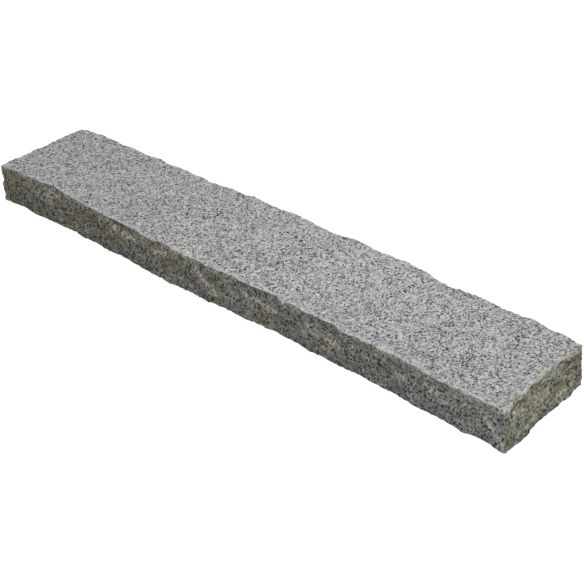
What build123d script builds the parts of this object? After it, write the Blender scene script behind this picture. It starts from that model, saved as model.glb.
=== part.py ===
from build123d import *
import math
import os

# ---------------------------------------------------------------------------
# Granite kerb stone: one split block, two flat sawn faces (bed and top) and
# four rough split faces. Lengths in millimetres.
# X runs along the kerb, Y across it, Z up from the bed face to the top face.
# ---------------------------------------------------------------------------

THICKNESS = 66.0          # bed face to top face
CENTRE_X = 0.66           # middle of the block in the coordinates of the tables below;
CENTRE_Y = 2.52           # it becomes the origin, on the bed face
STEP_X = 10.0             # station pitch along the two long split faces
STEP_Y = 10.0             # station pitch along the two split ends
X_FIRST = -490.0          # first station of the long faces
Y_FIRST_LEFT = -80.0      # first station of the far end
Y_FIRST_RIGHT = -90.0     # first station of the near end
LEVELS = (0.0, 13.0, 27.0, 41.0, 54.0, THICKNESS)   # section heights

FRONT_BELLY = 1.8         # how far each split face bellies out at mid height
BACK_BELLY = 1.8
END_BELLY = 1.4

# corners of the top face and of the bed face (x, y)
TOP_LF, TOP_RF, TOP_RB, TOP_LB = (-495.0, -98.8), (501.2, -98.8), (497.6, 89.2), (-500.8, 80.6)
BED_LF, BED_RF, BED_RB, BED_LB = (-499.0, -97.4), (506.4, -98.2), (503.4, 92.8), (-504.0, 86.5)

# y of the arrises of the long faces, one value per STEP_X from X_FIRST
FRONT_TOP = (
    -98.2, -97.4, -96.2, -95.4, -94.7, -95.0, -93.1, -92.6, -92.9, -93.0,
    -91.0, -88.9, -89.0, -90.2, -91.6, -92.8, -92.9, -93.6, -94.6, -94.6,
    -95.6, -95.7, -95.9, -95.7, -96.5, -97.9, -98.9, -97.9, -97.9, -98.0,
    -98.0, -97.1, -97.3, -99.9, -100.2, -102.0, -101.7, -98.2, -97.8, -96.5,
    -99.7, -98.9, -99.5, -100.2, -98.4, -99.6, -98.5, -100.0, -98.4, -98.2,
    -96.5, -96.3, -93.3, -96.5, -98.2, -96.6, -96.7, -95.4, -94.4, -92.9,
    -93.0, -95.1, -96.8, -93.8, -94.0, -95.1, -96.5, -95.7, -94.9, -95.2,
    -94.6, -93.5, -97.2, -99.0, -98.7, -95.7, -97.1, -95.8, -96.9, -96.4,
    -96.3, -95.1, -95.4, -97.4, -97.1, -97.0, -98.6, -101.9, -102.7, -102.8,
    -101.4, -101.3, -100.3, -100.0, -100.7, -99.6, -101.2, -100.7, -99.3)
FRONT_BED = (
    -97.1, -96.3, -95.2, -93.1, -93.1, -93.6, -94.3, -95.6, -95.1, -93.9,
    -93.4, -92.3, -92.8, -92.9, -91.4, -90.9, -90.6, -90.8, -93.1, -93.2,
    -92.2, -92.1, -91.3, -91.7, -93.3, -94.2, -93.5, -93.1, -93.0, -92.7,
    -93.0, -94.0, -95.0, -95.0, -96.3, -97.2, -96.8, -96.8, -97.7, -98.0,
    -96.4, -96.1, -95.4, -94.7, -94.5, -94.5, -95.3, -96.3, -94.0, -92.9,
    -92.4, -92.9, -92.9, -92.7, -92.7, -92.2, -90.0, -89.9, -90.1, -88.7,
    -87.6, -88.7, -88.5, -88.4, -88.7, -90.5, -92.2, -91.6, -90.9, -91.2,
    -91.1, -91.2, -91.8, -91.4, -89.8, -89.9, -90.0, -90.5, -91.2, -90.9,
    -91.1, -91.3, -92.2, -92.9, -93.3, -93.4, -93.9, -94.2, -94.1, -93.9,
    -93.9, -95.3, -96.5, -97.2, -96.3, -94.8, -94.5, -96.0, -97.1)
BACK_TOP = (
    83.6, 86.4, 86.8, 89.2, 89.2, 88.8, 89.1, 89.1, 87.2, 86.9,
    89.4, 90.3, 90.1, 88.8, 88.8, 88.5, 89.7, 92.6, 92.4, 90.2,
    89.1, 90.9, 92.4, 92.5, 93.4, 92.8, 90.6, 91.9, 92.9, 90.7,
    90.8, 91.9, 92.7, 95.1, 96.1, 96.1, 95.8, 96.2, 100.4, 100.5,
    99.7, 98.8, 98.0, 98.0, 98.3, 98.8, 102.3, 102.5, 101.4, 100.0,
    100.1, 98.0, 97.9, 97.3, 97.6, 97.2, 97.3, 99.7, 102.4, 103.4,
    103.1, 102.0, 100.5, 99.2, 99.4, 100.9, 100.8, 101.1, 102.9, 102.6,
    100.6, 99.6, 99.1, 97.7, 94.0, 91.9, 91.2, 89.6, 91.5, 93.5,
    93.5, 95.5, 95.3, 95.0, 94.5, 93.8, 92.6, 93.5, 93.9, 94.6,
    96.5, 96.7, 94.9, 93.9, 91.9, 93.2, 93.2, 90.6, 89.5)
# x of the arrises of the two ends, one value per STEP_Y
LEFT_TOP = (
    -498.8, -499.5, -497.6, -497.5, -498.4, -499.2, -500.8, -498.1,
    -498.7, -500.0, -501.2, -502.1, -501.7, -502.0, -502.5, -502.0)
RIGHT_TOP = (
    501.7, 500.1, 497.0, 497.4, 498.5, 497.9, 496.0, 497.2, 497.4,
    495.4, 496.0, 495.2, 495.9, 496.1, 496.7, 496.6, 496.2, 496.8)
RIGHT_BED = (
    506.2, 506.7, 507.5, 507.0, 507.4, 505.2, 504.5, 502.2, 502.2,
    503.3, 503.1, 503.5, 503.7, 502.2, 504.3, 505.2, 502.8, 502.8)

# the bed arris runs a little outside the top arris at the back and far end
BACK_BED_OUT = 0.4
LEFT_BED_OUT = 3.2

# flake scars: (position along the face, height of centre, half width,
# half height, depth, slope of the scar's long axis)
FRONT_SCARS = (
    (-462, 40, 30, 22, 1.6, 0.10), (-373, 52, 42, 17, 2.6, -0.12),
    (-300, 34, 36, 18, 1.5, 0.15), (-212, 54, 46, 16, 3.2, -0.10),
    (-126, 53, 36, 16, 2.8, 0.18), (-70, 30, 34, 20, 1.8, -0.2),
    (-24, 48, 30, 22, 3.4, -0.55), (78, 54, 52, 17, 3.6, -0.12),
    (140, 30, 34, 18, 1.4, 0.2), (204, 50, 44, 18, 3.2, -0.18),
    (275, 44, 30, 14, 1.8, 0.1), (338, 50, 26, 15, 2.4, 0.0),
    (404, 52, 38, 18, 3.4, -0.2), (440, 24, 30, 16, 1.6, 0.25),
    (482, 44, 22, 20, 2.8, -0.7))
BACK_SCARS = (
    (-450, 48, 44, 20, 3.4, 0.15), (-352, 50, 50, 18, 4.2, -0.1),
    (-262, 30, 40, 20, 3.0, 0.2), (-170, 52, 48, 17, 4.4, 0.12),
    (-84, 42, 40, 22, 3.2, -0.25), (8, 54, 52, 16, 4.0, 0.1),
    (96, 32, 40, 20, 3.4, 0.2), (168, 52, 40, 17, 3.6, -0.15),
    (262, 46, 46, 20, 4.2, 0.15), (350, 30, 40, 18, 2.6, -0.2),
    (428, 50, 46, 18, 4.0, 0.1))
LEFT_SCARS = (
    (-58, 48, 34, 18, 3.2, 0.2), (4, 34, 34, 20, 2.6, -0.3),
    (58, 50, 30, 16, 3.4, 0.2))
RIGHT_SCARS = (
    (-66, 40, 26, 18, 2.4, -0.5), (-14, 48, 34, 17, 3.4, -0.35),
    (30, 30, 28, 14, 2.0, -0.3), (62, 46, 30, 18, 3.0, -0.3))


def scar_depth(u, z, scars):
    """Depth the flake scars take off a split face at (u, z)."""
    total = 0.0
    for u0, z0, hu, hz, depth, slope in scars:
        du = (u - u0) / hu
        dz = (z - z0 - slope * (u - u0)) / hz
        r2 = du * du + dz * dz
        if r2 < 1.0:
            total = max(total, depth * (1.0 - r2))
    return total


def swell(u, z, phase):
    """Slow waviness of a split face."""
    return (0.9 * math.sin(u / 31.0 + z / 17.0 + phase)
            + 0.6 * math.sin(u / 17.3 - z / 11.0 + 2.1 * phase)
            + 0.5 * math.sin(u / 53.0 + z / 29.0 + 0.7 * phase))


def proud(u, z, belly, scars, phase):
    """Outward offset of a split face from the plane between its arrises."""
    t = z / THICKNESS
    hold = min(1.0, 4.5 * t, 4.5 * (1.0 - t))      # the arrises stay put
    return (belly * 4.0 * t * (1.0 - t)
            + hold * (swell(u, z, phase) - scar_depth(u, z, scars)))


def lerp(a, b, t):
    return a + (b - a) * t


N_LONG = len(FRONT_TOP)
XS = [X_FIRST + STEP_X * i for i in range(N_LONG)]
YL = [Y_FIRST_LEFT + STEP_Y * i for i in range(len(LEFT_TOP))]
YR = [Y_FIRST_RIGHT + STEP_Y * i for i in range(len(RIGHT_TOP))]
BACK_BED = [y + BACK_BED_OUT + 1.7 * math.sin(0.071 * x + 0.6)
            + 1.1 * math.sin(0.163 * x + 1.9) + 0.8 * math.sin(0.31 * x)
            for x, y in zip(XS, BACK_TOP)]
LEFT_BED = [x - LEFT_BED_OUT + 1.3 * math.sin(0.11 * y + 0.4)
            + 0.8 * math.sin(0.27 * y + 1.1) for y, x in zip(YL, LEFT_TOP)]


def corner(top, bed, t):
    return (lerp(bed[0], top[0], t), lerp(bed[1], top[1], t))


def edge(points, z):
    n = len(points) - 1
    return Edge.make_spline([Vector(x - CENTRE_X, y - CENTRE_Y, z) for x, y in points],
                            parameters=[i / n for i in range(n + 1)])


def section(z):
    t = z / THICKNESS
    lf, rf = corner(TOP_LF, BED_LF, t), corner(TOP_RF, BED_RF, t)
    rb, lb = corner(TOP_RB, BED_RB, t), corner(TOP_LB, BED_LB, t)
    front = [lf] + [(x, lerp(b, a, t) - proud(x, z, FRONT_BELLY, FRONT_SCARS, 0.3))
                    for x, a, b in zip(XS, FRONT_TOP, FRONT_BED)] + [rf]
    right = [rf] + [(lerp(b, a, t) + proud(y, z, END_BELLY, RIGHT_SCARS, 1.7), y)
                    for y, a, b in zip(YR, RIGHT_TOP, RIGHT_BED)] + [rb]
    back = [lb] + [(x, lerp(b, a, t) + proud(x, z, BACK_BELLY, BACK_SCARS, 4.1))
                   for x, a, b in zip(XS, BACK_TOP, BACK_BED)] + [rb]
    left = [lf] + [(lerp(b, a, t) - proud(y, z, END_BELLY, LEFT_SCARS, 2.9), y)
                   for y, a, b in zip(YL, LEFT_TOP, LEFT_BED)] + [lb]
    return Wire([edge(front, z), edge(right, z),
                 edge(back[::-1], z), edge(left[::-1], z)])


stone = Solid.make_loft([section(z) for z in LEVELS], ruled=False)

stone.label = "kerb_stone"

os.makedirs("parts", exist_ok=True)
export_step(stone, "parts/kerb_stone.step")
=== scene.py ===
import math

import bpy
import numpy as np
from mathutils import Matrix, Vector
from mathutils.bvhtree import BVHTree


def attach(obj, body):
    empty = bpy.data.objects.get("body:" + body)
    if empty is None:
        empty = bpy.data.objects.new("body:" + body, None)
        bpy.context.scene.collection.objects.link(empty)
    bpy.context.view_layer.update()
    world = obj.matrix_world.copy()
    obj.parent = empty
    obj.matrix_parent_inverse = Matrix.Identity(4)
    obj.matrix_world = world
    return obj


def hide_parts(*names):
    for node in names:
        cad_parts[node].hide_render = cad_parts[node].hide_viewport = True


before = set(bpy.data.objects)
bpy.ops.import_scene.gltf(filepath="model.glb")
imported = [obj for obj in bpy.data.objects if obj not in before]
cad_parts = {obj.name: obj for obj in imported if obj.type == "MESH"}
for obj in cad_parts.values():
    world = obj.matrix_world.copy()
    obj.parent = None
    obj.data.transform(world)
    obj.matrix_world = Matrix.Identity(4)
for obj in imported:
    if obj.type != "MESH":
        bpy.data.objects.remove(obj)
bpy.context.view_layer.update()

# ---------------------------------------------------------------------------
# Granite kerb stone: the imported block, with its split faces broken into flakes
# and crystals, its arrises chipped, and a salt-and-pepper granite on it.
# Metres; X along the kerb, Y across it, Z up. Relief numbers are millimetres.
# ---------------------------------------------------------------------------

H = 0.066
STAND = 0.7                                # split crystals stand this far proud of the arris line
NX, NY, NZ = 600, 116, 38                  # cells along, across and up the block
CX, CY = 0.00066, 0.00252                  # survey origin to the block's middle


def pt(x, y):
    return np.array((x / 1000 - CX, y / 1000 - CY))


TOP_C = [pt(-495.0, -98.8), pt(501.2, -98.8), pt(497.6, 89.2), pt(-500.8, 80.6)]
BED_C = [pt(-499.0, -97.4), pt(506.4, -98.2), pt(503.4, 92.8), pt(-504.0, 86.5)]


# ------------------------------------------------------------- noise fields
def hash3(ix, iy, iz, seed):
    with np.errstate(over="ignore"):
        h = (ix.astype(np.uint32) * np.uint32(0x8DA6B343)) ^ (iy.astype(np.uint32) * np.uint32(0xD8163841))
        h = h ^ (iz.astype(np.uint32) * np.uint32(0xCB1AB31F)) ^ np.uint32((seed * 0x9E3779B1) & 0xFFFFFFFF)
        h = (h ^ (h >> np.uint32(15))) * np.uint32(0x2C1B3C6D)
        h = (h ^ (h >> np.uint32(12))) * np.uint32(0x297A2D39)
        return h ^ (h >> np.uint32(15))


def rnd(ix, iy, k, seed):
    return hash3(ix, iy, np.full_like(ix, k), seed).astype(np.float64) / 4294967296.0


def perlin(p, seed):
    i = np.floor(p).astype(np.int64)
    f = p - i
    w = f * f * f * (f * (f * 6 - 15) + 10)
    out = np.zeros(len(p))
    for dx in (0, 1):
        for dy in (0, 1):
            for dz in (0, 1):
                h = hash3(i[:, 0] + dx, i[:, 1] + dy, i[:, 2] + dz, seed)
                a = (h & np.uint32(1023)) / 1023.0 * 2 * math.pi
                c = ((h >> np.uint32(10)) & np.uint32(1023)) / 1023.0 * 2 - 1
                s = np.sqrt(np.maximum(0, 1 - c * c))
                d = (s * np.cos(a) * (f[:, 0] - dx) + s * np.sin(a) * (f[:, 1] - dy) + c * (f[:, 2] - dz))
                out += (d * (w[:, 0] if dx else 1 - w[:, 0]) * (w[:, 1] if dy else 1 - w[:, 1])
                        * (w[:, 2] if dz else 1 - w[:, 2]))
    return out * 1.6


def fbm(p, seed, octaves=3, gain=0.5):
    out, amp, total = np.zeros(len(p)), 1.0, 0.0
    for o in range(octaves):
        out += amp * perlin(p * 2.0 ** o + 17.3 * o, seed + 31 * o)
        total += amp
        amp *= gain
    return out / total


def flat3(u, v, w=0.0):
    return np.stack([u, v, np.full_like(u, w)], 1)


def facets(u, v, size, slope, lift, seed):
    """Broken planes: each point lies on the tilted plane of its nearest seed."""
    wu = u + 0.4 * size * perlin(flat3(u / (size * 0.9), v / (size * 0.9), 3.1), seed + 5)
    wv = v + 0.4 * size * perlin(flat3(u / (size * 0.9), v / (size * 0.9), 9.7), seed + 6)
    gu, gv = wu / size, wv / size
    iu, iv = np.floor(gu).astype(np.int64), np.floor(gv).astype(np.int64)
    best, h = np.full(len(u), 1e9), np.zeros(len(u))
    for du in (-1, 0, 1):
        for dv in (-1, 0, 1):
            cu, cv = iu + du, iv + dv
            pu, pv = cu + rnd(cu, cv, 0, seed), cv + rnd(cu, cv, 1, seed)
            d2 = (gu - pu) ** 2 + (gv - pv) ** 2
            val = (size * ((gu - pu) * (rnd(cu, cv, 2, seed) * 2 - 1) * slope
                           + (gv - pv) * (rnd(cu, cv, 3, seed) * 2 - 1) * slope)
                   + (rnd(cu, cv, 4, seed) * 2 - 1) * lift)
            sel = d2 < best
            h = np.where(sel, val, h)
            best = np.where(sel, d2, best)
    return h


def smooth(a, b, x):
    t = np.clip((x - a) / (b - a), 0, 1)
    return t * t * (3 - 2 * t)


# ------------------------------------------------- flake ledges on the faces
# polylines (along the face, height) of the lower rims of flake scars, with the
# depth of the scar above the rim and how strongly the rim is bruised pale
FRONT_LEDGES = [
    ([(-394, 55), (-373, 49), (-350, 43)], 1.7, 0.75),
    ([(-318, 30), (-290, 27), (-262, 31)], 1.0, 0.25),
    ([(-238, 60), (-224, 54), (-205, 50), (-187, 46), (-170, 43)], 2.3, 0.95),
    ([(-142, 37), (-122, 46), (-102, 52)], 1.9, 0.85),
    ([(-42, 55), (-25, 37), (-8, 26), (3, 14)], 2.3, 1.0),
    ([(36, 49), (68, 44), (98, 39), (120, 36)], 2.5, 1.0),
    ([(170, 48), (190, 42), (211, 35), (234, 31)], 2.3, 0.9),
    ([(258, 41), (276, 38), (294, 37)], 1.3, 0.5),
    ([(328, 39), (338, 36), (349, 39)], 1.8, 0.9),
    ([(378, 63), (396, 56), (410, 47), (424, 38)], 1.9, 0.7),
    ([(468, 43), (484, 32), (499, 20)], 2.0, 0.95),
]
RIGHT_LEDGES = [
    ([(-60, 14), (-30, 19), (0, 16), (30, 22)], 1.2, 0.3),
    ([(34, 14), (50, 17), (70, 22), (90, 21)], 1.3, 0.3),
]
# hollows under the top arris of the near end, open down to these ridges
# (along the end, height), with their depth and how far the arris overhangs them
RIGHT_TIERS = [
    ([(-97, 46), (-84, 48), (-74, 46), (-62, 45), (-52, 49)], 1.6, 13.0),
    ([(-50, 54), (-40, 51), (-22, 53), (-8, 54), (4, 53)], 0.9, 8.0),
    ([(18, 48), (26, 42), (38, 40), (46, 44), (52, 50)], 0.3, 8.0),
]
# lips of the near end: the face stands out above the line and is cut back
# below it (along the end, height), with both depths
RIGHT_LIPS = [
    ([(36, 44), (52, 42), (60, 40), (70, 37), (80, 35)], 0.5, 1.2),
    ([(-92, 38), (-82, 42), (-70, 41)], 0.9, 1.0),
    ([(-44, 27), (-20, 25), (2, 21), (22, 24)], 0.8, 0.9),
]
# crushed pale marks: (along the face, height, half length, half width, slope, strength)
FRONT_MARKS = [
    (-375, 49.5, 9, 2.4, -0.15, 0.75), (-378, 58, 9, 4.0, 0.0, 0.30), (-419, 57, 3, 8.0, -0.3, 0.28),
    (-222, 50, 5, 4.4, -0.4, 0.62), (-187, 48.5, 11, 4.0, -0.1, 0.66), (-205, 45, 6, 2.4, -0.4, 0.42),
    (-123, 45.5, 7, 2.6, 0.1, 1.0), (-109, 48.6, 5, 2.2, 0.2, 0.95), (-137, 48, 5, 2.4, -0.4, 0.40),
    (-45, 53, 2.6, 10.0, -0.25, 0.58), (-37, 60, 2.6, 5.0, -0.25, 0.75), (-30, 43, 2.8, 9.0, -0.35, 0.50),
    (-24, 35, 7, 3.2, -0.7, 0.58), (-9, 29, 6, 3.2, -0.7, 1.05), (-4, 20, 3.0, 6.0, -0.3, 0.90),
    (57, 44, 5, 1.8, -0.3, 0.30), (75, 43, 7, 1.7, -0.15, 0.38), (99, 39.5, 11, 2.0, -0.22, 1.10),
    (115, 38.5, 5, 2.2, 0.2, 0.80), (100, 58, 3, 2.2, -0.3, 0.70), (112, 57, 3, 4.0, 0.0, 0.45),
    (176, 45, 5, 2.4, 0.0, 0.34), (189, 32, 4, 2.4, 0.3, 0.55), (212, 35.5, 12, 2.4, -0.1, 0.85),
    (228, 33, 5, 2.0, -0.2, 0.55), (276, 38, 5, 2.2, -0.2, 0.50), (339, 38, 6, 4.6, 0.25, 0.88),
    (304, 58, 3, 4.0, 0.0, 0.35), (395, 46, 5, 6.0, 0.2, 0.45), (414, 37, 4, 2.6, -0.4, 0.45),
    (450, 26, 4, 3.2, 0.3, 0.65), (472, 39, 5, 2.6, -0.5, 1.0), (478, 33, 8, 1.7, -0.87, 1.7),
    (486, 26, 8, 1.7, -0.87, 1.7), (494, 19, 8, 1.6, -0.87, 1.6), (501, 12, 5, 1.5, -0.87, 1.4),
    (496, 64, 7, 3.0, 0.0, 0.95),
    (-333, 62, 15, 4.0, 0.0, 0.35), (-151, 56, 11, 6.0, -0.2, 0.35), (128, 60, 6, 7.0, 0.0, 0.50),
    (-480, 64.5, 16, 2.0, 0.0, 0.5),
]
RIGHT_MARKS = [
    (-80, 48, 3.4, 7.0, 0.3, 0.75), (-60, 36, 3.0, 14.0, 0.15, 0.45), (-88, 30, 3.4, 8.0, 0.5, 0.40),
    (66, 44, 8, 2.2, -0.4, 0.30), (-26, 45, 8, 2.6, -0.4, 0.40),
    (-93, 62, 4, 3.4, 0.0, 0.7), (8, 45, 6, 2.6, -0.4, 0.35), (40, 16, 8, 3.0, 0.2, 0.35),
]
# broad soft patches where the split face is paler or darker:
# (along the face, height, half length, half width, slope, gain)
FRONT_SOFT = [
    (-375, 54, 17, 6, -0.1, 0.15), (-346, 61, 15, 5, 0.0, 0.13), (-440, 32, 7, 6, 0.0, 0.16),
    (-470, 52, 16, 6, 0.1, 0.06), (-225, 53, 8, 8, 0.0, 0.12), (-190, 48, 16, 6, -0.1, 0.12),
    (-116, 47, 15, 5, 0.15, 0.10), (-30, 46, 10, 14, -0.4, 0.08), (-6, 27, 9, 10, -0.3, 0.10),
    (395, 59, 12, 6, 0.0, 0.10), (338, 38, 9, 6, 0.2, 0.10), (212, 35, 16, 5, -0.1, 0.07),
    (-305, 44, 22, 14, 0.0, -0.07), (30, 50, 18, 12, 0.0, -0.05),
]
# on the near end the darker patches high up, just under the top arris, are painted shade, as under an overhang
RIGHT_SOFT = [
    (-66, 56, 26, 7, 0.0, -0.30), (0, 54, 22, 11, 0.0, 0.32), (72, 54, 16, 9, 0.0, -0.12),
    (42, 55, 15, 7, 0.0, -0.34), (70, 41, 16, 5, 0.0, -0.15), (-70, 44, 20, 4, 0.0, 0.12), (76, 26, 14, 9, 0.0, -0.09), (-55, 24, 4, 12, 0.0, 0.10),
]
BACK_LEDGES = [
    ([(-462, 40), (-430, 44), (-400, 41)], 2.4, 0.6),
    ([(-372, 30), (-340, 36), (-310, 34)], 2.6, 0.7),
    ([(-196, 42), (-168, 36), (-140, 39)], 2.8, 0.8),
    ([(-60, 20), (-34, 32), (-8, 44)], 2.6, 0.8),
    ([(40, 40), (76, 36), (110, 38)], 2.4, 0.7),
    ([(150, 44), (182, 33), (205, 20)], 2.6, 0.8),
    ([(244, 36), (276, 33), (300, 38)], 2.2, 0.6),
    ([(372, 28), (404, 37), (440, 41)], 2.6, 0.8),
]
LEFT_LEDGES = [
    ([(-84, 28), (-56, 36), (-24, 40)], 2.4, 0.5),
    ([(-14, 22), (20, 30), (52, 36), (78, 34)], 2.6, 0.5),
]


def ledges(u, z, table, seed):
    """(offset, bruise): flakes struck off above each rim, and the pale rims."""
    off, pale = np.zeros(len(u)), np.zeros(len(u))
    jig = 1.8 * perlin(flat3(u / 9.0, z / 9.0, seed * 0.37), seed)
    jig += 0.9 * perlin(flat3(u / 3.4, z / 3.4, seed * 0.71), seed + 1)
    for n, (line, depth, mark) in enumerate(table):
        lu = np.array([p[0] for p in line], float)
        lz = np.array([p[1] for p in line], float)
        t = z - np.interp(u, lu, lz) + jig
        win = smooth(lu[0] - 7, lu[0] + 7, u) * (1 - smooth(lu[-1] - 7, lu[-1] + 7, u))
        reach = np.maximum(8.0, 66.0 - np.interp(u, lu, lz))
        step = smooth(-1.2, 1.6, t)
        off -= depth * win * step * np.clip(1 - t / reach, 0, 1)
        grain = 0.8 + 0.9 * perlin(flat3(u / 6.0, z / 6.0, n * 1.3), seed + 11)
        pale = np.maximum(pale, mark * win * np.exp(-((t - 0.4) / 2.8) ** 2) * np.clip(grain, 0, 1))
    return off, pale


def tiers(u, z, table, seed):
    """Hollow between the top arris and each ridge."""
    off = np.zeros(len(u))
    jig = 2.4 * perlin(flat3(u / 11.0, z / 11.0, 5.5), seed) + 1.0 * perlin(flat3(u / 4.0, z / 4.0, 1.5), seed + 1)
    for line, depth, over in table:
        lu = np.array([p[0] for p in line], float)
        lz = np.array([p[1] for p in line], float)
        ridge = np.interp(u, lu, lz)
        t = z - ridge + jig
        win = smooth(lu[0] - 4, lu[0] + 5, u) * (1 - smooth(lu[-1] - 5, lu[-1] + 4, u))
        roof = 66.0 - ridge
        off = np.minimum(off, -depth * win * smooth(-1.0, 7.0, t) * (1 - smooth(roof - over, roof + 1.0, t)))
    return off


def lips(u, z, table, seed):
    """Proud above each line, cut back below it."""
    off = np.zeros(len(u))
    jig = 2.0 * perlin(flat3(u / 10.0, z / 10.0, 7.5), seed) + 1.0 * perlin(flat3(u / 3.6, z / 3.6, 3.5), seed + 1)
    for line, proud, under in table:
        lu = np.array([p[0] for p in line], float)
        lz = np.array([p[1] for p in line], float)
        t = z - np.interp(u, lu, lz) + jig
        win = smooth(lu[0] - 5, lu[0] + 5, u) * (1 - smooth(lu[-1] - 5, lu[-1] + 5, u))
        above = proud * np.exp(-(np.maximum(t, 0) / 11.0) ** 1.3)
        below = -under * np.exp(-(np.maximum(-t, 0) / 7.0) ** 1.5)
        off += win * (below + (above - below) * smooth(-1.2, 1.2, t))
    return off


def marks(u, z, table, seed):
    """Crushed pale spots of a split face, 0 to 1."""
    ju = u + 2.0 * perlin(flat3(u / 7.0, z / 7.0, 2.5), seed) + 1.2 * perlin(flat3(u / 3.0, z / 3.0, 6.5), seed + 1)
    jz = z + 1.6 * perlin(flat3(u / 7.0, z / 7.0, 8.5), seed + 2) + 1.0 * perlin(flat3(u / 3.0, z / 3.0, 4.5), seed + 3)
    out = np.zeros(len(u))
    for u0, z0, hl, hw, slope, strength in table:
        c = 1.0 / math.hypot(1.0, slope)
        w = 0.4 if strength > 1.3 else 1.0
        pu, pz = u + w * (ju - u) - u0, z + w * (jz - z) - z0
        a = (pu + pz * slope) * c
        b = (pz - pu * slope) * c
        out = np.maximum(out, strength * np.exp(-(a / hl) ** 2 - (b / hw) ** 2))
    return out


def soft(u, z, table, seed):
    """Soft paler and darker patches of a split face, as a gain on its tone."""
    ju = u + 5.0 * perlin(flat3(u / 14.0, z / 14.0, 2.2), seed)
    jz = z + 4.0 * perlin(flat3(u / 14.0, z / 14.0, 7.2), seed + 1)
    out = np.zeros(len(u))
    for u0, z0, hl, hw, slope, gain in table:
        c = 1.0 / math.hypot(1.0, slope)
        a = ((ju - u0) + (jz - z0) * slope) * c
        b = ((jz - z0) - (ju - u0) * slope) * c
        out += gain * np.exp(-(a / hl) ** 2 - (b / hw) ** 2)
    return out


def split_relief(u, z, table, seed, rough):
    """Outward offset (mm) of a split face on top of the block's own shape."""
    big = facets(u, z, 21.0, 0.16, 0.5, seed)
    mid = facets(u, z, 9.5, 0.20, 0.35, seed + 40)
    small = facets(u, z, 4.6, 0.24, 0.22, seed + 80)
    fine = fbm(flat3(u / 3.6, z / 3.6, seed), seed + 120, 2)
    off, pale = ledges(u, z, table, seed + 7)
    top_hold = 0.35 + 0.65 * smooth(66.0, 59.0, z)
    bed_hold = 0.75 + 0.25 * smooth(0.0, 5.0, z)
    rel = rough * (0.8 * big * top_hold + 0.85 * mid * (0.5 + 0.5 * top_hold) + 0.8 * small + 0.3 * fine)
    return rel * bed_hold + off, pale


# ------------------------------------------------------------ the base block
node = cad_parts["kerb_stone"]
cad = node.data
tree = BVHTree.FromPolygons([v.co.copy() for v in cad.vertices], [tuple(p.vertices) for p in cad.polygons])


def corner(n, z):
    t = z / H
    return BED_C[n] + (TOP_C[n] - BED_C[n]) * t


def cast(origin, direction, far):
    hit = tree.ray_cast(Vector(origin), Vector(direction), far)
    return hit[0]


zs = np.linspace(0, H, NZ + 1)
su, sv = np.linspace(0, 1, NX + 1), np.linspace(0, 1, NY + 1)


def long_face(a, b, y_from, dy):
    out = np.zeros((NX + 1, NZ + 1, 3))
    for k, z in enumerate(zs):
        ca, cb, zr = corner(a, z), corner(b, z), min(max(z, 5e-5), H - 5e-5)
        for i, s in enumerate(su):
            x = ca[0] + (cb[0] - ca[0]) * s
            if i in (0, NX):
                y = (ca if i == 0 else cb)[1]
            else:
                y = cast((x, y_from, zr), (0, dy, 0), 0.4).y
            out[i, k] = (x, y, z)
    return out


def end_face(a, b, x_from, dx):
    out = np.zeros((NY + 1, NZ + 1, 3))
    for k, z in enumerate(zs):
        ca, cb, zr = corner(a, z), corner(b, z), min(max(z, 5e-5), H - 5e-5)
        for j, s in enumerate(sv):
            y = ca[1] + (cb[1] - ca[1]) * s
            if j in (0, NY):
                x = (ca if j == 0 else cb)[0]
            else:
                x = cast((x_from, y, zr), (dx, 0, 0), 0.8).x
            out[j, k] = (x, y, z)
    return out


front = long_face(0, 1, -0.25, 1)
back = long_face(3, 2, 0.25, -1)
left = end_face(0, 3, -0.7, 1)
right = end_face(1, 2, 0.7, -1)


def coons(f, b, l, r):
    """Spread a wide face between its four arrises."""
    u, v = su[:, None, None], sv[None, :, None]
    return ((1 - v) * f[:, None] + v * b[:, None] + (1 - u) * l[None] + u * r[None]
            - (1 - u) * (1 - v) * f[0] - u * (1 - v) * f[-1] - (1 - u) * v * b[0] - u * v * b[-1])


top = coons(front[:, NZ], back[:, NZ], left[:, NZ], right[:, NZ])
bed = coons(front[:, 0], back[:, 0], left[:, 0], right[:, 0])

# ------------------------------------------------------------ surface lattice
vid = np.full((NX + 1, NY + 1, NZ + 1), -1, np.int64)
used = np.zeros(vid.shape, bool)
used[:, 0, :] = used[:, NY, :] = True
used[0, :, :] = used[NX, :, :] = True


def wide_cells(k, rings):
    """Cells of a wide face: fine next to the arrises, coarser inside."""
    cells, lo, size = [], 0, 1
    for width, nxt in rings:
        hi = lo + width if width else None
        i0, i1, j0, j1 = lo, NX - lo, lo, NY - lo
        for i in range(i0, i1, size):
            for j in range(j0, j1, size):
                if hi is not None and i >= hi and i + size <= NX - hi and j >= hi and j + size <= NY - hi:
                    continue
                cells.append((i, j, size))
        if hi is not None:
            lo, size = hi, nxt
    for i, j, s in cells:
        used[i, j, k] = used[i + s, j, k] = used[i, j + s, k] = used[i + s, j + s, k] = True
    return cells


top_cells = wide_cells(NZ, [(6, 2), (0, 0)])
bed_cells = wide_cells(0, [(4, 2), (4, 4), (0, 0)])


def wide_faces(cells, k, up):
    quads, tris = [], []
    for i, j, s in cells:
        ring = [(i, j), (i + s, j), (i + s, j + s), (i, j + s)]
        if s > 1:
            h = s // 2
            mids = [(i + h, j), (i + s, j + h), (i + h, j + s), (i, j + h)]
            full = []
            for a, m in zip(ring, mids):
                full.append(a)
                if used[m[0], m[1], k]:
                    full.append(m)
            if len(full) > 4:
                used[i + h, j + h, k] = True
                full = full if up else full[::-1]
                for a, b in zip(full, full[1:] + full[:1]):
                    tris.append(((i + h, j + h, k), (a[0], a[1], k), (b[0], b[1], k)))
                continue
        ring = ring if up else ring[::-1]
        quads.append(tuple((a, b, k) for a, b in ring))
    return quads, tris


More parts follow.
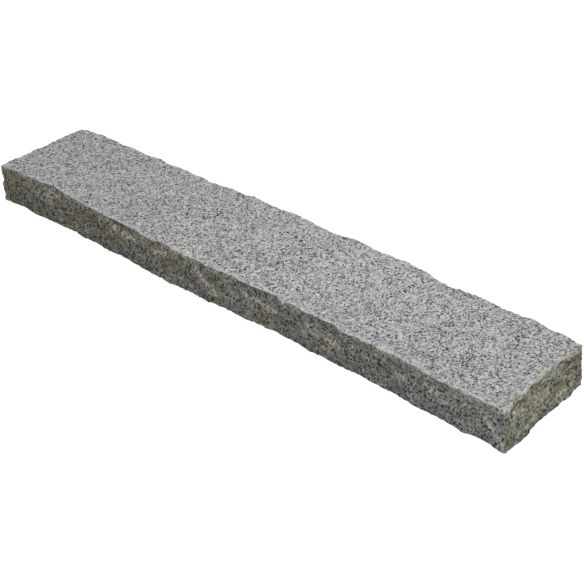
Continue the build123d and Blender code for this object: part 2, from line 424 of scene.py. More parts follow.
top_q, top_t = wide_faces(top_cells, NZ, True)
bed_q, bed_t = wide_faces(bed_cells, 0, False)
side_q = {"front": [], "back": [], "left": [], "right": []}
for i in range(NX):
    for k in range(NZ):
        side_q["front"].append(((i, 0, k), (i + 1, 0, k), (i + 1, 0, k + 1), (i, 0, k + 1)))
        side_q["back"].append(((i, NY, k), (i, NY, k + 1), (i + 1, NY, k + 1), (i + 1, NY, k)))
for j in range(NY):
    for k in range(NZ):
        side_q["right"].append(((NX, j, k), (NX, j + 1, k), (NX, j + 1, k + 1), (NX, j, k + 1)))
        side_q["left"].append(((0, j, k), (0, j, k + 1), (0, j + 1, k + 1), (0, j + 1, k)))

ijk = np.argwhere(used)
vid[used] = np.arange(len(ijk))
I, J, K = ijk.T
P = np.zeros((len(ijk), 3))
m = K == 0
P[m] = bed[I[m], J[m]]
m = K == NZ
P[m] = top[I[m], J[m]]
for mask, src, a in ((J == 0, front, I), (J == NY, back, I), (I == 0, left, J), (I == NX, right, J)):
    P[mask] = src[a[mask], K[mask]]
base = P.copy()
mm = base * 1000.0

# ------------------------------------------------------------------- relief
pale, hollow, patch_v = np.zeros(len(P)), np.zeros(len(P)), np.zeros(len(P))
for mask, axis, sign, table, seed, rough in (
        (J == 0, 1, -1, FRONT_LEDGES, 11, 0.85), (J == NY, 1, 1, BACK_LEDGES, 23, 1.0),
        (I == 0, 0, -1, LEFT_LEDGES, 37, 1.0), (I == NX, 0, 1, RIGHT_LEDGES, 53, 0.7)):
    u = mm[mask][:, 0 if axis == 1 else 1]
    z = mm[mask][:, 2]
    off, mark = split_relief(u, z, table, seed, rough)
    mark *= 0.55
    stand = np.full(len(u), STAND)
    if seed == 11:
        mark = np.maximum(0.4 * mark, marks(u, z, FRONT_MARKS, 611))
        patch_v[mask] = soft(u, z, FRONT_SOFT, 661)
        stand *= 1 - smooth(46, 64, z)
        off += 0.7 * smooth(300, 380, u) * np.exp(-((z - 59) / 5.0) ** 2)
    elif seed == 23:
        stand *= 1 - 0.9 * smooth(470, 495, u)
    elif seed == 53:
        off += tiers(u, z, RIGHT_TIERS, 631) + lips(u, z, RIGHT_LIPS, 651)
        off *= (1 - 0.7 * smooth(62, 84, u)) * (1 - 0.4 * smooth(56, 64, z)) * (1 - 0.6 * smooth(20, 36, u) * smooth(44, 50, z))
        off += 0.8 * np.exp(-((u - 66) / 18.0) ** 2 - ((z - 56) / 10.0) ** 2)
        off += 0.9 * (1 - smooth(0, 9, z)) * fbm(flat3(u / 8.0, z / 8.0, 3.3), 691, 2)
        stand *= (1 - smooth(50, 64, z)) * (1 - 0.9 * smooth(66, 86, u))
        mark = np.maximum(mark, marks(u, z, RIGHT_MARKS, 641))
        patch_v[mask] = soft(u, z, RIGHT_SOFT, 671)
    hollow[mask] = np.clip(-off, -1.6, 2.4)
    P[mask, axis] += sign * (off + stand) / 1000.0
    pale[mask] = np.maximum(pale[mask], mark)

# the top is flamed: shallow pits and proud crystals, dying out at the arris
m = K == NZ
border = np.minimum(np.minimum(I, NX - I), np.minimum(J, NY - J))
u, v = mm[m][:, 0], mm[m][:, 1]
flame = 0.22 * fbm(flat3(u / 6.0, v / 6.0, 4.2), 301, 3) - 0.10
wave = 0.5 * perlin(flat3(u / 90.0, v / 60.0, 1.0), 302)
P[m, 2] += (flame + wave * smooth(0, 8, border[m]) - 0.25) / 1000.0
m = (K == 0)
P[m, 2] += np.maximum(0, 0.25 * fbm(flat3(mm[m][:, 0] / 7.0, mm[m][:, 1] / 7.0, 8.2), 303, 2)) / 1000.0

# the arrises are worn a little round
wear = 0.24 + 0.22 * perlin(flat3((mm[:, 0] + mm[:, 1]) / 8.0, mm[:, 2] / 8.0, 2.7), 305)
on_x, on_y, on_z = (I == 0) | (I == NX), (J == 0) | (J == NY), (K == 0) | (K == NZ)
arris = (on_x.astype(int) + on_y + on_z) > 1
for axis, on, idx, last in ((0, on_x, I, NX), (1, on_y, J, NY), (2, on_z, K, NZ)):
    m = arris & on
    P[m, axis] += np.where(idx[m] == last, -1, 1) * wear[m] / 1000.0

# ---------------------------------------------------------- arris chips
def carve(centre, radii):
    """Scoop an ellipsoid out of the block's surface."""
    c, r = np.array(centre), np.array(radii)
    near = np.abs(P[:, 0] - c[0]) < r[0]
    near &= np.abs(P[:, 1] - c[1]) < r[1]
    idx = np.nonzero(near)[0]
    if not len(idx):
        return
    q = (P[idx] - c) / r
    d = np.sqrt((q * q).sum(1))
    sel = d < 1
    q, d, idx = q[sel], np.maximum(d[sel], 1e-6), idx[sel]
    P[idx] = c + q / d[:, None] * r


def chip_line(line, out, count, size, deep, up, seed, last=0.988):
    """Chips along one arris: line is its points, out its outward side."""
    rng = np.random.RandomState(seed)
    n_seg = len(line) - 1
    for n in range(count):
        s = rng.uniform(0.012, last) * n_seg
        a = int(s)
        p = line[a] + (line[a + 1] - line[a]) * (s - a)
        r = rng.uniform(*size) * (1.0 + 1.2 * rng.rand() ** 5)
        d = rng.uniform(*deep)
        tilt = rng.uniform(0.3, 1.1)
        dirn = np.array([out[0] * math.cos(tilt), out[1] * math.cos(tilt), up * math.sin(tilt)])
        c = p + dirn * (r - d) / 1000.0
        rad = np.array([r, r, r]) / 1000.0
        rad[0 if abs(out[1]) > 0.5 else 1] *= rng.uniform(0.9, 2.0)
        carve(c, rad)


edge_x, edge_y = np.arange(NX + 1), np.arange(NY + 1)
chip_line(P[vid[edge_x, 0, NZ]], (0, -1), 130, (2.2, 4.6), (0.25, 0.9), 1, 20)
chip_line(P[vid[edge_x, NY, NZ]], (0, 1), 150, (2.2, 4.8), (0.25, 0.9), 1, 21, 0.97)
chip_line(P[vid[NX, edge_y, NZ]], (1, 0), 120, (1.6, 3.4), (0.5, 1.7), 1, 22, 0.94)
chip_line(P[vid[0, edge_y, NZ]], (-1, 0), 30, (2.2, 4.6), (0.3, 1.0), 1, 23)
chip_line(P[vid[edge_x, 0, 0]], (0, -1), 110, (2.2, 4.6), (0.15, 0.8), -1, 24)
chip_line(P[vid[edge_x, NY, 0]], (0, 1), 120, (2.2, 5.0), (0.3, 1.2), -1, 25)
chip_line(P[vid[NX, edge_y, 0]], (1, 0), 26, (2.4, 5.0), (0.3, 1.2), -1, 26)
chip_line(P[vid[0, edge_y, 0]], (-1, 0), 26, (2.4, 5.0), (0.3, 1.2), -1, 27)


def chip_post(i, j, sx, sy, count, seed, deep=(0.5, 1.6)):
    """Chips down one upright edge."""
    rng = np.random.RandomState(seed)
    post = P[vid[i, j, :]]
    for n in range(count):
        s = rng.uniform(0.02, 0.98) * NZ
        a = int(s)
        p = post[a] + (post[a + 1] - post[a]) * (s - a)
        r, d = rng.uniform(2.6, 6.0), rng.uniform(*deep)
        dirn = np.array([sx * rng.uniform(0.5, 1.0), sy * rng.uniform(0.5, 1.0), rng.uniform(-0.3, 0.3)])
        dirn /= np.linalg.norm(dirn)
        carve(p + dirn * (r - d) / 1000.0, np.array([r, r, r * rng.uniform(0.9, 2.0)]) / 1000.0)


def knock(i, j, k, dirn, r, d):
    """One blunt knock on a corner of the block."""
    dirn = np.array(dirn) / np.linalg.norm(dirn)
    carve(P[vid[i, j, k]] + dirn * (r - d) / 1000.0, np.array([r, r, r]) / 1000.0)


chip_post(NX, 0, 1, -1, 14, 31)
chip_post(NX, NY, 1, 1, 12, 32, (0.1, 0.5))
chip_post(0, 0, -1, -1, 10, 33)
chip_post(0, NY, -1, 1, 12, 34)
knock(NX, 0, 0, (1.0, -1.0, -0.7), 9.0, 1.7)
knock(NX, 0, NZ, (0.5, -1.0, 0.8), 9.0, 2.1)
for u, r, d in ((-64, 4.6, 2.2), (-19, 3.6, 1.6), (30, 3.4, 0.8), (-42, 4.0, 1.2)):
    knock(NX, int(round(NY * (u + 98.8) / 186.0)), NZ, (1.0, 0.0, 0.45), r, d)
for x, r, d in ((-340, 8.0, 1.2), (128, 8.0, 1.9), (-42, 6.0, 1.4), (395, 7.0, 1.6), (420, 7.0, 1.2), (300, 6.0, 1.2)):
    knock(int(round(NX * (x + 495.0) / 996.2)), 0, NZ, (0.0, -0.62, 1.0), r, d)
knock(NX, NY, 0, (1.0, 1.0, -0.8), 8.0, 0.8)
knock(0, 0, 0, (-1.0, -1.0, -0.9), 7.0, 1.2)
knock(0, NY, NZ, (-1.0, 1.0, 0.7), 6.0, 0.5)
knock(0, NY, 0, (-1.0, 1.0, -0.8), 8.0, 2.0)

P[:, 2] = np.clip(P[:, 2], 0.0, H)

# ---------------------------------------------------------------- the mesh
quads, kinds, tris = [], [], []
for name, q in (("top", top_q), ("bed", bed_q), ("front", side_q["front"]), ("back", side_q["back"]),
                ("left", side_q["left"]), ("right", side_q["right"])):
    quads += q
    kinds += [name] * len(q)
qa = np.array(quads)
qi = vid[qa[..., 0], qa[..., 1], qa[..., 2]]
ta = np.array(top_t + bed_t)
ti = vid[ta[..., 0], ta[..., 1], ta[..., 2]]
kinds += ["top"] * len(top_t) + ["bed"] * len(bed_t)
faces = qi.tolist() + ti.tolist()

me = bpy.data.meshes.new("granite_block")
me.from_pydata(P.tolist(), [], faces)
me.polygons.foreach_set("use_smooth", np.ones(len(faces), bool))

# which finish a face has: 0 flamed top, 1 split side, 0.5 sawn bed
side = np.array([{"top": 0.0, "bed": 0.5}.get(k, 1.0) for k in kinds], np.float32)
at = me.attributes.new("split", "FLOAT", "FACE")
at.data.foreach_set("value", side)

# crushed pale rim of the top, by distance from the arris
m = K == NZ
rim_v = np.zeros(len(P))
gain = np.interp(mm[m][:, 0], [-500, 50, 250, 500], [1.0, 1.0, 1.25, 1.25])
wide = np.interp(mm[m][:, 0], [-500, 50, 300, 500], [4.2, 4.2, 5.8, 7.4])
near = np.interp(mm[m][:, 1], [-98, -50, -30, 20, 40], [0.65, 0.65, 1.15, 1.15, 0.45])
for step, strength, width in ((J, gain, wide), (NY - J, 0.12, 4.2), (I, 0.35, 4.2), (NX - I, near, 4.6)):
    rim_v[m] = np.maximum(rim_v[m], strength * np.exp(-(step[m] * 1.66 / width) ** 1.5))
m = (J == 0) & (K < NZ)
rim_v[m] = np.interp(mm[m][:, 0], [280, 380], [1.0, 1.55]) * np.exp(-((H - base[m, 2]) * 1000 / np.interp(mm[m][:, 0], [250, 400], [4.6, 7.0])) ** 1.5)
at = me.attributes.new("rim", "FLOAT", "POINT")
at.data.foreach_set("value", rim_v.astype(np.float32))
at = me.attributes.new("bruise", "FLOAT", "POINT")
at.data.foreach_set("value", pale.astype(np.float32))

# olive staining of the split faces: strongest at the far left and on the ends
olive = np.zeros(len(P))
m = J == 0
olive[m] = np.interp(mm[m][:, 0], [-500, -380, -200, -60, 60, 200, 300, 420, 500], [1.85, 1.55, 0.93, 0.75, 0.60, 0.46, 0.36, 0.24, 0.2])
olive[J == NY] = 0.6
olive[(I == 0)] = 0.9
olive[(I == NX)] = 0.95
m = J == 0
olive[m] += 0.5 * np.exp(-((mm[m][:, 0] + 392) / 26.0) ** 2 - ((mm[m][:, 2] - 56) / 9.0) ** 2)
at = me.attributes.new("olive", "FLOAT", "POINT")
at.data.foreach_set("value", (0.67 * olive + np.where(K < NZ, 0.12, 0.0) * hollow).astype(np.float32))
# how much the stain comes and goes, and how cream its crushed marks are
spread = 3.2 * olive
spread[I == NX] = 2.5
at = me.attributes.new("spread", "FLOAT", "POINT")
at.data.foreach_set("value", spread.astype(np.float32))
cream = np.where(J == 0, 1.0, 0.7)
cream[I == NX] = 0.3
at = me.attributes.new("cream", "FLOAT", "POINT")
at.data.foreach_set("value", cream.astype(np.float32))
# tone: a gain on the colour, darker towards both ends of the block; on the split faces it also carries painted light
# and shade
tone_and_painted_light = np.interp(mm[:, 0], [-500, -375, -125, 125, 250, 375, 500], [0.885, 0.926, 0.975, 1.03, 1.03, 0.975, 0.935])
# painted light: the front face is darker towards its left end and lighter towards its right, as light falling off along
# it
m = (J == 0) & (K < NZ)
tone_and_painted_light[m] = np.interp(mm[m][:, 0], [-500, -360, -200, 0, 300, 430, 500], [0.83, 0.89, 0.965, 1.0, 1.005, 1.14, 1.23])
tone_and_painted_light[I == NX] = 0.995
# painted light: lighter bands on the front face, most of them just under the arris, lift the shade on the hollows there
# that face down
tone_and_painted_light[m] *= 1 + 0.05 * smooth(330, 420, mm[m][:, 0]) * smooth(38.0, 56.0, mm[m][:, 2])
tone_and_painted_light[m] *= 1 + (0.05 + 0.06 * smooth(320, 420, mm[m][:, 0])) * smooth(54.0, 61.0, mm[m][:, 2])
fx, fz = mm[m][:, 0], mm[m][:, 2]
tone_and_painted_light[m] *= 1 + 0.16 * (1 - smooth(-340, -260, fx)) * smooth(36, 46, fz) * (1 - smooth(52, 60, fz))
tone_and_painted_light[m] *= 1 + smooth(20, 90, fx) * (1 - smooth(300, 360, fx)) * (0.035 * smooth(40, 48, fz) + 0.10 * np.exp(-((fz - 55) / 4.0) ** 2))
tone_and_painted_light[m] *= 1 + 0.09 * smooth(-320, -280, fx) * (1 - smooth(40, 100, fx)) * np.exp(-((fz - 62.0) / 3.0) ** 2)
tone_and_painted_light[m] *= 1 + 0.20 * smooth(290, 370, fx) * np.exp(-((fz - 62.6) / 2.3) ** 2)
# painted light and shade on the near end: a lighter band just under the top arris lifts the shadow of its overhang, and
# a darker band below it tones down the ledge that catches the light
m = (I == NX) & (K < NZ)
ry, rz = mm[m][:, 1], mm[m][:, 2]
tone_and_painted_light[m] *= 1 + smooth(22, 38, ry) * (0.34 * np.exp(-((rz - 60.2) / 1.9) ** 2) - 0.26 * np.exp(-((rz - 53.6) / 2.9) ** 2))
m = K < NZ
tone_and_painted_light[m] *= (0.90 + 0.10 * smooth(0.0, 16.0, mm[m][:, 2])) * (1 + patch_v[m])
m = K == NZ
tone_and_painted_light[m] *= 1 - 0.11 * smooth(60, 230, mm[m][:, 0]) * np.exp(-((J[m] * 1.66 - 17.0) / 11.0) ** 2)
tone_and_painted_light[m] *= 1 + np.interp(mm[m][:, 0], [-500, -260, -150, 100, 420], [0.12, 0.09, -0.01, -0.02, -0.085]) * np.exp(-((NY - J[m]) * 1.66 / 16.0) ** 2)
at = me.attributes.new("tone_and_painted_light", "FLOAT", "POINT")
at.data.foreach_set("value", tone_and_painted_light.astype(np.float32))
dust = np.full(len(P), 0.15)
m = J == 0
dust[m] = np.interp(mm[m][:, 0], [-500, -200, -60, 60, 250, 360, 480], [0.06, 0.10, 0.15, 0.17, 0.18, 0.13, 0.09])
dust[I == NX] = 0.20
at = me.attributes.new("dust", "FLOAT", "POINT")
at.data.foreach_set("value", dust.astype(np.float32))

# one chart per face, cut in halves along the long ones, for textures made later
uv = me.uv_layers.new(name="OFBake")
starts = {"top": (0.0, 0.245, 2), "front": (0.498, 0.088, 2), "back": (0.682, 0.062, 2), "bed": (0.814, 0.105, 1)}
loops = np.zeros(len(me.loops), np.int64)
me.loops.foreach_get("vertex_index", loops)
lstart = np.zeros(len(faces), np.int64)
ltotal = np.zeros(len(faces), np.int64)
me.polygons.foreach_get("loop_start", lstart)
me.polygons.foreach_get("loop_total", ltotal)
lface = np.repeat(np.arange(len(faces)), ltotal)
kind_arr = np.array(kinds)
lk = kind_arr[lface]
li, lj, lkk = I[loops], J[loops], K[loops]
cent_i = np.zeros(len(faces))
np.add.at(cent_i, lface, li)
cent_i /= ltotal
half = (cent_i > NX / 2).astype(int)[lface]
UV = np.zeros((len(loops), 2))
GAP = 0.004
for name, (v0, hgt, parts) in starts.items():
    s = lk == name
    across = {"top": lj / NY, "bed": lj / NY, "front": lkk / NZ, "back": lkk / NZ}[name]
    if parts == 2:
        uu = li / (NX / 2) - half
        UV[s, 0] = (GAP + (1 - 2 * GAP) * uu)[s]
        UV[s, 1] = (v0 + half * (hgt + GAP) + GAP + (hgt - GAP) * across)[s]
    else:
        UV[s, 0] = (GAP + (1 - 2 * GAP) * li / NX)[s]
        UV[s, 1] = (v0 + GAP + (hgt - GAP) * across)[s]
for name, u0 in (("left", 0.0), ("right", 0.5)):
    s = lk == name
    UV[s, 0] = (u0 + GAP + (0.5 - 2 * GAP) * lj / NY)[s]
    UV[s, 1] = (0.925 + (0.07) * lkk / NZ)[s]
uv.data.foreach_set("uv", UV.astype(np.float32).ravel())
me.validate()
me.update()

stone = bpy.data.objects.new("granite_block", me)
bpy.context.scene.collection.objects.link(stone)


# ------------------------------------------------------------------ granite
mat = bpy.data.materials.new("granite")
mat.use_nodes = True
nt = mat.node_tree
nt.nodes.clear()


def add(kind, **props):
    n = nt.nodes.new(kind)
    for k, v in props.items():
        setattr(n, k, v)
    return n


def link(a, b):
    nt.links.new(a, b)


def math_node(op, a, b=None, clamp=False, name="math"):
    n = add("ShaderNodeMath", operation=op, use_clamp=clamp, name=name)
    for s, v in zip(n.inputs, (a, b)):
        if v is None:
            continue
        if isinstance(v, (int, float)):
            s.default_value = v
        else:
            link(v, s)
    return n.outputs[0]


def mix_col(fac, a, b, mode="MIX", name="mix"):
    n = add("ShaderNodeMix", data_type="RGBA", blend_type=mode, name=name)
    for s, v in ((n.inputs["Factor"], fac), (n.inputs[6], a), (n.inputs[7], b)):
        if isinstance(v, (int, float)):
            s.default_value = v
        elif isinstance(v, tuple):
            s.default_value = (*v, 1.0)
        else:
            link(v, s)
    return n.outputs[2]


def noise(vec, scale, detail=2.0, rough=0.5, dist=0.0):
    n = add("ShaderNodeTexNoise")
    n.inputs["Scale"].default_value = scale
    n.inputs["Detail"].default_value = detail
    n.inputs["Roughness"].default_value = rough
    n.inputs["Distortion"].default_value = dist
    link(vec, n.inputs["Vector"])
    return n


def voronoi(vec, scale, feature="F1", rand=1.0, name="voronoi"):
    n = add("ShaderNodeTexVoronoi", feature=feature, name=name)
    n.inputs["Scale"].default_value = scale
    n.inputs["Randomness"].default_value = rand
    link(vec, n.inputs["Vector"])
    return n


def ramp(fac, stops, interp="LINEAR"):
    n = add("ShaderNodeValToRGB")
    cr = n.color_ramp
    cr.interpolation = interp
    while len(cr.elements) < len(stops):
        cr.elements.new(0.5)
    for e, (p, c) in zip(cr.elements, stops):
        e.position = p
        e.color = (*c, 1.0)
    link(fac, n.inputs["Fac"])
    return n.outputs["Color"]


def attr(name):
    n = add("ShaderNodeAttribute", attribute_name=name)
    return n.outputs["Fac"]


def rng_map(v, a, b, c, d):
    n = add("ShaderNodeMapRange")
    n.inputs["From Min"].default_value = a
    n.inputs["From Max"].default_value = b
    n.inputs["To Min"].default_value = c
    n.inputs["To Max"].default_value = d
    link(v, n.inputs["Value"])
    return n.outputs["Result"]


coord = add("ShaderNodeTexCoord").outputs["Object"]
# grain boundaries wander a little, so the cells are warped by a fine noise
warp = noise(coord, 520.0, 2.0, 0.6)
wsub = add("ShaderNodeVectorMath", operation="SUBTRACT")
link(warp.outputs["Color"], wsub.inputs[0])
wsub.inputs[1].default_value = (0.5, 0.5, 0.5)
wscale = add("ShaderNodeVectorMath", operation="SCALE", name="warp")
link(wsub.outputs[0], wscale.inputs[0])
wscale.inputs["Scale"].default_value = 0.0010
# the crystals are drawn out a little across the kerb
fabric = add("ShaderNodeMapping", vector_type="TEXTURE", name="fabric")
fabric.inputs["Rotation"].default_value = (0.0, 0.0, math.radians(97.0))
fabric.inputs["Scale"].default_value = (1.26, 0.96, 1.0)
link(coord, fabric.inputs["Vector"])
wadd = add("ShaderNodeVectorMath", operation="ADD")
link(fabric.outputs[0], wadd.inputs[0])
link(wscale.outputs[0], wadd.inputs[1])
split = attr("split")
# the bed is another slice of the stone, cut at the same depth of the grain as the top
is_bed = math_node("LESS_THAN", math_node("ABSOLUTE", math_node("SUBTRACT", split, 0.5)), 0.1)
bshift = add("ShaderNodeVectorMath", operation="SCALE", name="bed_slice")
bshift.inputs[0].default_value = (0.37, 0.21, H - 0.0003)
link(is_bed, bshift.inputs["Scale"])
badd = add("ShaderNodeVectorMath", operation="ADD")
link(wadd.outputs[0], badd.inputs[0])
link(bshift.outputs[0], badd.inputs[1])
wco = badd.outputs[0]

rim = attr("rim")
bruise = attr("bruise")
olive_a = attr("olive")
tone_and_painted_light_attr = attr("tone_and_painted_light")
dust_a = attr("dust")
spread_a = attr("spread")
cream_a = attr("cream")
is_side = math_node("GREATER_THAN", split, 0.75)


def channels(tex):
    n = add("ShaderNodeSeparateColor")
    link(tex.outputs["Color"], n.inputs[0])
    return n.outputs


# minerals: pale feldspar and smoky quartz, ivory or lilac in patches
cells = voronoi(wco, 380.0, name="cells")
kind_v, tone_v, alt_v = channels(cells)[:3]
feld = mix_col(tone_v, (0.29, 0.29, 0.29), (0.555, 0.555, 0.555), name="feld")
quartz = mix_col(tone_v, (0.12, 0.12, 0.124), (0.27, 0.27, 0.275), name="quartz")
c1 = mix_col(math_node("GREATER_THAN", kind_v, 0.80, name="quartz_cut"), feld, quartz)
hue = noise(coord, 58.0, 5.0, 0.66).outputs["Fac"]
c2 = mix_col(1.0, c1, mix_col(rng_map(hue, 0.33, 0.67, 0.0, 1.0), (1.033, 1.023, 0.922), (0.979, 0.967, 1.054), name="hue"), "MULTIPLY")
blush = noise(coord, 44.0, 5.0, 0.68).outputs["Fac"]
# mica in black spots that gather in loose strings and clusters
clump = noise(coord, 60.0, 3.0, 0.6).outputs["Fac"]
gather = math_node("MULTIPLY", math_node("SUBTRACT", clump, 0.5), 0.45)


def spots(scale, cut, least, spread, name):
    tex = voronoi(wco, scale, name=name)
    r, g, b = channels(tex)[:3]
    chosen = math_node("GREATER_THAN", math_node("ADD", b, gather), cut, name=name + "_cut")
    size = math_node("ADD", math_node("MULTIPLY", r, spread, name=name + "_spread"), least, name=name + "_least")
    return math_node("MULTIPLY", chosen, math_node("LESS_THAN", tex.outputs["Distance"], size)), g


is_mica, mica_t = spots(310.0, 0.725, 0.46, 0.24, "mica")
is_flake, flake_t = spots(560.0, 0.80, 0.36, 0.2, "flake")
is_lump, lump_t = spots(150.0, 1.0, 0.16, 0.16, "lump")
c3 = mix_col(is_flake, c2, mix_col(flake_t, (0.03, 0.03, 0.034), (0.14, 0.14, 0.145), name="flake_col"))
c3 = mix_col(is_mica, c3, mix_col(mica_t, (0.012, 0.012, 0.014), (0.04, 0.04, 0.043), name="mica_col"))
c4 = mix_col(is_lump, c3, (0.02, 0.02, 0.022))
# painted glints: sparse near-white specks in the colour stand in for crystals glinting in the light
is_painted_glint, painted_glint_t = spots(120.0, 1.06, 0.10, 0.10, "painted_glint")
c4 = mix_col(is_painted_glint, c4, (0.88, 0.86, 0.79))
# fine mottling inside grains and slow cloudiness over the block
fine = noise(coord, 900.0, 2.0, 0.6).outputs["Fac"]
cloud = noise(coord, 16.0, 3.0, 0.55).outputs["Fac"]
lum = math_node("MULTIPLY", rng_map(fine, 0.25, 0.75, 0.86, 1.14), rng_map(cloud, 0.3, 0.7, 0.94, 1.06))
# the tone attribute carries painted light and shade on the front face and the near end
lum = math_node("MULTIPLY", lum, tone_and_painted_light_attr)
mult = add("ShaderNodeCombineColor")
for s in mult.inputs[:3]:
    link(lum, s)
c5 = mix_col(1.0, c4, mult.outputs[0], "MULTIPLY")
# some crystals blush pink, others lean green
blush_f = rng_map(blush, 0.3, 0.7, 0.0, 1.0)
c5 = mix_col(1.0, c5, mix_col(blush_f, (0.945, 1.012, 0.993), (1.056, 0.987, 1.007), name="blush"), "MULTIPLY")
# crushed rim of the top: pale, few dark grains
rimn = noise(coord, 150.0, 2.0, 0.6).outputs["Fac"]
rim_f = math_node("MULTIPLY", rim, rng_map(rimn, 0.35, 0.65, 0.15, 0.75), True)
top_col = mix_col(rim_f, c5, mix_col(tone_v, (0.40, 0.397, 0.392), (0.56, 0.555, 0.545)), name="rim")
# split faces: darker and olive-stained in patches, bruised pale on the rims
stain_n = noise(coord, 34.0, 3.0, 0.62).outputs["Fac"]
stain = math_node("ADD", olive_a, math_node("MULTIPLY", math_node("SUBTRACT", stain_n, 0.5), spread_a), True)
tint = mix_col(stain, (0.880, 0.912, 0.89), (0.751, 0.744, 0.606), name="tint")
side_n = noise(coord, 85.0, 4.0, 0.64)
side_b, side_h = channels(side_n)[:2]
side_bf = rng_map(side_b, 0.33, 0.67, 0.0, 1.0)
tint = mix_col(1.0, tint, mix_col(side_bf, (0.948, 1.010, 0.985), (1.076, 0.982, 1.012), name="side_blush"), "MULTIPLY")
tint = mix_col(1.0, tint, mix_col(rng_map(side_h, 0.33, 0.67, 0.0, 1.0), (1.012, 1.010, 0.94), (0.990, 0.988, 1.055), name="side_hue"), "MULTIPLY")
ochre = mix_col(stain, (0.22, 0.22, 0.19), (0.25, 0.22, 0.05), name="ochre")
patch = noise(coord, 62.0, 3.0, 0.55).outputs["Fac"]
drift = noise(coord, 27.0, 2.0, 0.5).outputs["Fac"]
shade = math_node("MULTIPLY", rng_map(patch, 0.3, 0.7, 0.82, 1.18), rng_map(drift, 0.3, 0.7, 0.91, 1.09))
tone3 = add("ShaderNodeCombineColor")
for s in tone3.inputs[:3]:
    link(shade, s)
dusty = mix_col(dust_a, mix_col(1.0, c5, tint, "MULTIPLY"), ochre, name="dusty")
side_col = mix_col(1.0, dusty, tone3.outputs[0], "MULTIPLY")
side_col = mix_col(math_node("MULTIPLY", rim_f, 0.6), side_col, (0.42, 0.41, 0.365), name="side_rim")
crush = math_node("ADD", bruise, math_node("MULTIPLY", math_node("SUBTRACT", alt_v, 0.5), 1.25))
br_f = math_node("MULTIPLY", rng_map(crush, 0.46, 0.62, 0.0, 0.9), rng_map(bruise, 0.06, 0.22, 0.0, 1.0))
grey_mark = mix_col(tone_v, (0.47, 0.465, 0.41), (0.70, 0.69, 0.62))
cream_mark = mix_col(tone_v, mix_col(side_bf, (0.47, 0.465, 0.315), (0.51, 0.46, 0.345)), mix_col(side_bf, (0.73, 0.72, 0.555), (0.77, 0.715, 0.585)))
side_col = mix_col(br_f, side_col, mix_col(cream_a, grey_mark, cream_mark), name="bruise")
col = mix_col(is_side, top_col, side_col)

bsdf = add("ShaderNodeBsdfPrincipled")
out = add("ShaderNodeOutputMaterial")
link(col, bsdf.inputs["Base Color"])
bsdf.inputs["Specular IOR Level"].default_value = 0.35
# mica is glossier than the crushed feldspar and quartz around it
rough = math_node("SUBTRACT", rng_map(fine, 0.25, 0.75, 0.62, 0.86), math_node("MULTIPLY", is_mica, 0.18))
link(rough, bsdf.inputs["Roughness"])
# crystals stand proud of the grain boundaries
edge = voronoi(wco, 380.0, "DISTANCE_TO_EDGE").outputs["Distance"]
hgt = math_node("ADD", math_node("MULTIPLY", rng_map(edge, 0.0, 0.25, 0.0, 1.0), 0.35), math_node("MULTIPLY", tone_v, 0.45))
hgt = math_node("ADD", hgt, math_node("MULTIPLY", fine, 0.5))
bump = add("ShaderNodeBump", name="bump")
link(rng_map(is_side, 0.0, 1.0, 0.45, 0.8), bump.inputs["Strength"])
bump.inputs["Distance"].default_value = 0.0006
link(hgt, bump.inputs["Height"])
link(bump.outputs["Normal"], bsdf.inputs["Normal"])
link(bsdf.outputs[0], out.inputs["Surface"])
me.materials.append(mat)

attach(stone, "root")
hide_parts("kerb_stone")

# ------------------------------------------------------- floor, light, camera
fm = bpy.data.meshes.new("floor")
fm.from_pydata([(-60, -60, 0), (60, -60, 0), (60, 60, 0), (-60, 60, 0)], [], [(0, 1, 2, 3)])
floor = bpy.data.objects.new("floor", fm)
bpy.context.scene.collection.objects.link(floor)
floor.location.z = -0.0004
fmat = bpy.data.materials.new("floor")
fmat.use_nodes = True
fb = fmat.node_tree.nodes["Principled BSDF"]
fb.inputs["Base Color"].default_value = (0.15, 0.15, 0.15, 1)
fb.inputs["Roughness"].default_value = 0.9
fb.inputs["Specular IOR Level"].default_value = 0.0
fb.inputs["Emission Color"].default_value = (1, 1, 1, 1)
fb.inputs["Emission Strength"].default_value = 0.95
fmat.cycles.emission_sampling = "NONE"
fm.materials.append(fmat)
floor.visible_diffuse = False
floor.visible_glossy = False

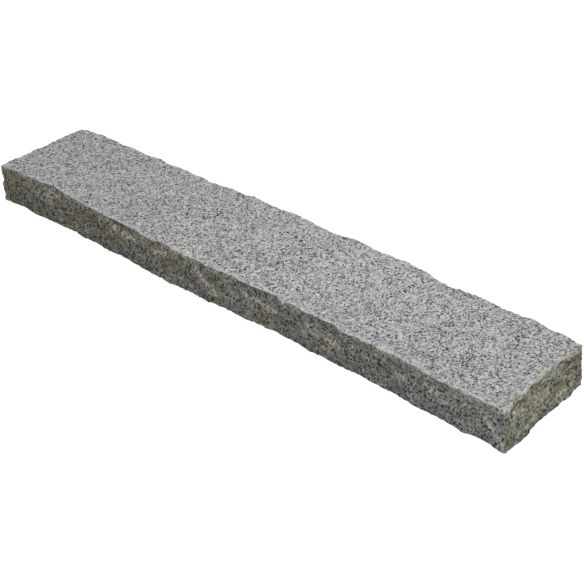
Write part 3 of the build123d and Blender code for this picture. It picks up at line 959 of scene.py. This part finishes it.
world = bpy.data.worlds.new("studio")
bpy.context.scene.world = world
world.use_nodes = True
wn = world.node_tree
bg = wn.nodes["Background"]
tc = wn.nodes.new("ShaderNodeTexCoord")
sx = wn.nodes.new("ShaderNodeSeparateXYZ")
wn.links.new(tc.outputs["Generated"], sx.inputs[0])
mr = wn.nodes.new("ShaderNodeMapRange")
mr.inputs["From Min"].default_value = -0.10
mr.inputs["From Max"].default_value = 0.0
mr.inputs["To Min"].default_value = 0.077
mr.inputs["To Max"].default_value = 0.75
wn.links.new(sx.outputs["Z"], mr.inputs["Value"])
wn.links.new(mr.outputs["Result"], bg.inputs["Strength"])
bg.inputs["Color"].default_value = (1, 1, 1, 1)


def area(name, at_pos, aim, size, power):
    ld = bpy.data.lights.new(name, "AREA")
    ld.shape = "DISK"
    ld.size = size
    ld.energy = power
    lo = bpy.data.objects.new(name, ld)
    bpy.context.scene.collection.objects.link(lo)
    lo.location = at_pos
    lo.rotation_mode = "QUATERNION"
    lo.rotation_quaternion = (Vector(aim) - Vector(at_pos)).to_track_quat("-Z", "Y")
    return lo


area("key", (1.5, 1.2, 2.9), (0, 0, 0.05), 1.6, 43.0)
area("fill", (2.2, -1.9, 1.3), (0.2, 0, 0.03), 1.2, 10.0)

cam_d = bpy.data.cameras.new("camera")
cam = bpy.data.objects.new("camera", cam_d)
bpy.context.scene.collection.objects.link(cam)
az, el = math.radians(41.468), math.radians(32.824)
backv = Vector((math.sin(az) * math.cos(el), -math.cos(az) * math.cos(el), math.sin(el)))
cam.location = (1.1488 - CX, -1.2307 - CY, 1.0651)
cam.rotation_mode = "QUATERNION"
cam.rotation_quaternion = (-backv).to_track_quat("-Z", "Y")
cam_d.sensor_width = 36.0
cam_d.lens = 1306.1 * 36.0 / 584.0
cam_d.clip_start, cam_d.clip_end = 0.05, 50.0
bpy.context.scene.camera = cam
bpy.context.scene.view_settings.view_transform = "Standard"
# the grain is about a pixel wide, and smoothing the image would smear it
bpy.context.scene.cycles.use_denoising = False
